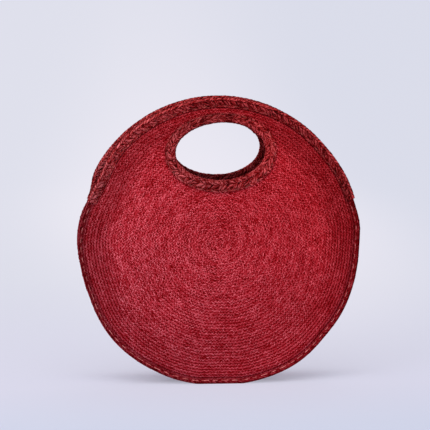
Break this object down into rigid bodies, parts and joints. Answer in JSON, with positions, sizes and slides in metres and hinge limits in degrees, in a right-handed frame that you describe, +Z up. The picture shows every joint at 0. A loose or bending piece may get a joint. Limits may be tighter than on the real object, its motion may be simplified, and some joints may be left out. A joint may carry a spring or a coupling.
{
  "type": "round straw bag",
  "caption": "Flat round straw handbag made of two domed spiral-sewn discs, with an oval hand hole in each, a narrow gusset and folded plait trims.",
  "frame": {"origin": "on the floor under the middle of the bag, at the bottom centre of its bounding box", "axes": "+Z up, +X to the right seen from the front, +Y to the back: the front disc faces -Y"},
  "size_m": [0.363, 0.0736, 0.3738],
  "materials": {
    "disc_straw": "matte",
    "gusset_straw": "matte",
    "trim_plait": "matte",
    "sewing_thread": "matte"
  },
  "bodies": {
    "root": {"gusset": "gusset_straw", "left_gusset_end_trim": "trim_plait", "right_gusset_end_trim": "trim_plait", "front_panel": "disc_straw", "back_panel": "disc_straw", "front_seam_thread": "sewing_thread", "back_seam_thread": "sewing_thread"},
    "front_lip": {"front_lip": "disc_straw", "front_mouth_trim": "trim_plait", "front_hole_trim": "trim_plait", "front_mouth_trim_thread": "sewing_thread", "front_hole_trim_thread": "sewing_thread"},
    "back_lip": {"back_lip": "disc_straw", "back_mouth_trim": "trim_plait", "back_hole_trim": "trim_plait", "back_mouth_trim_thread": "sewing_thread", "back_hole_trim_thread": "sewing_thread"}
  },
  "joints": [
    {"name": "front_lip_open", "type": "hinge", "parent": "root", "child": "front_lip", "pos_m": [0, -0.03292, 0.24], "axis": [1, 0, 0], "range_deg": [-5.5, 18], "stiffness_Nm_per_rad": 0.5},
    {"name": "back_lip_open", "type": "hinge", "parent": "root", "child": "back_lip", "pos_m": [0, 0.03292, 0.24], "axis": [-1, 0, 0], "range_deg": [-5.5, 18], "stiffness_Nm_per_rad": 0.5}
  ]
}
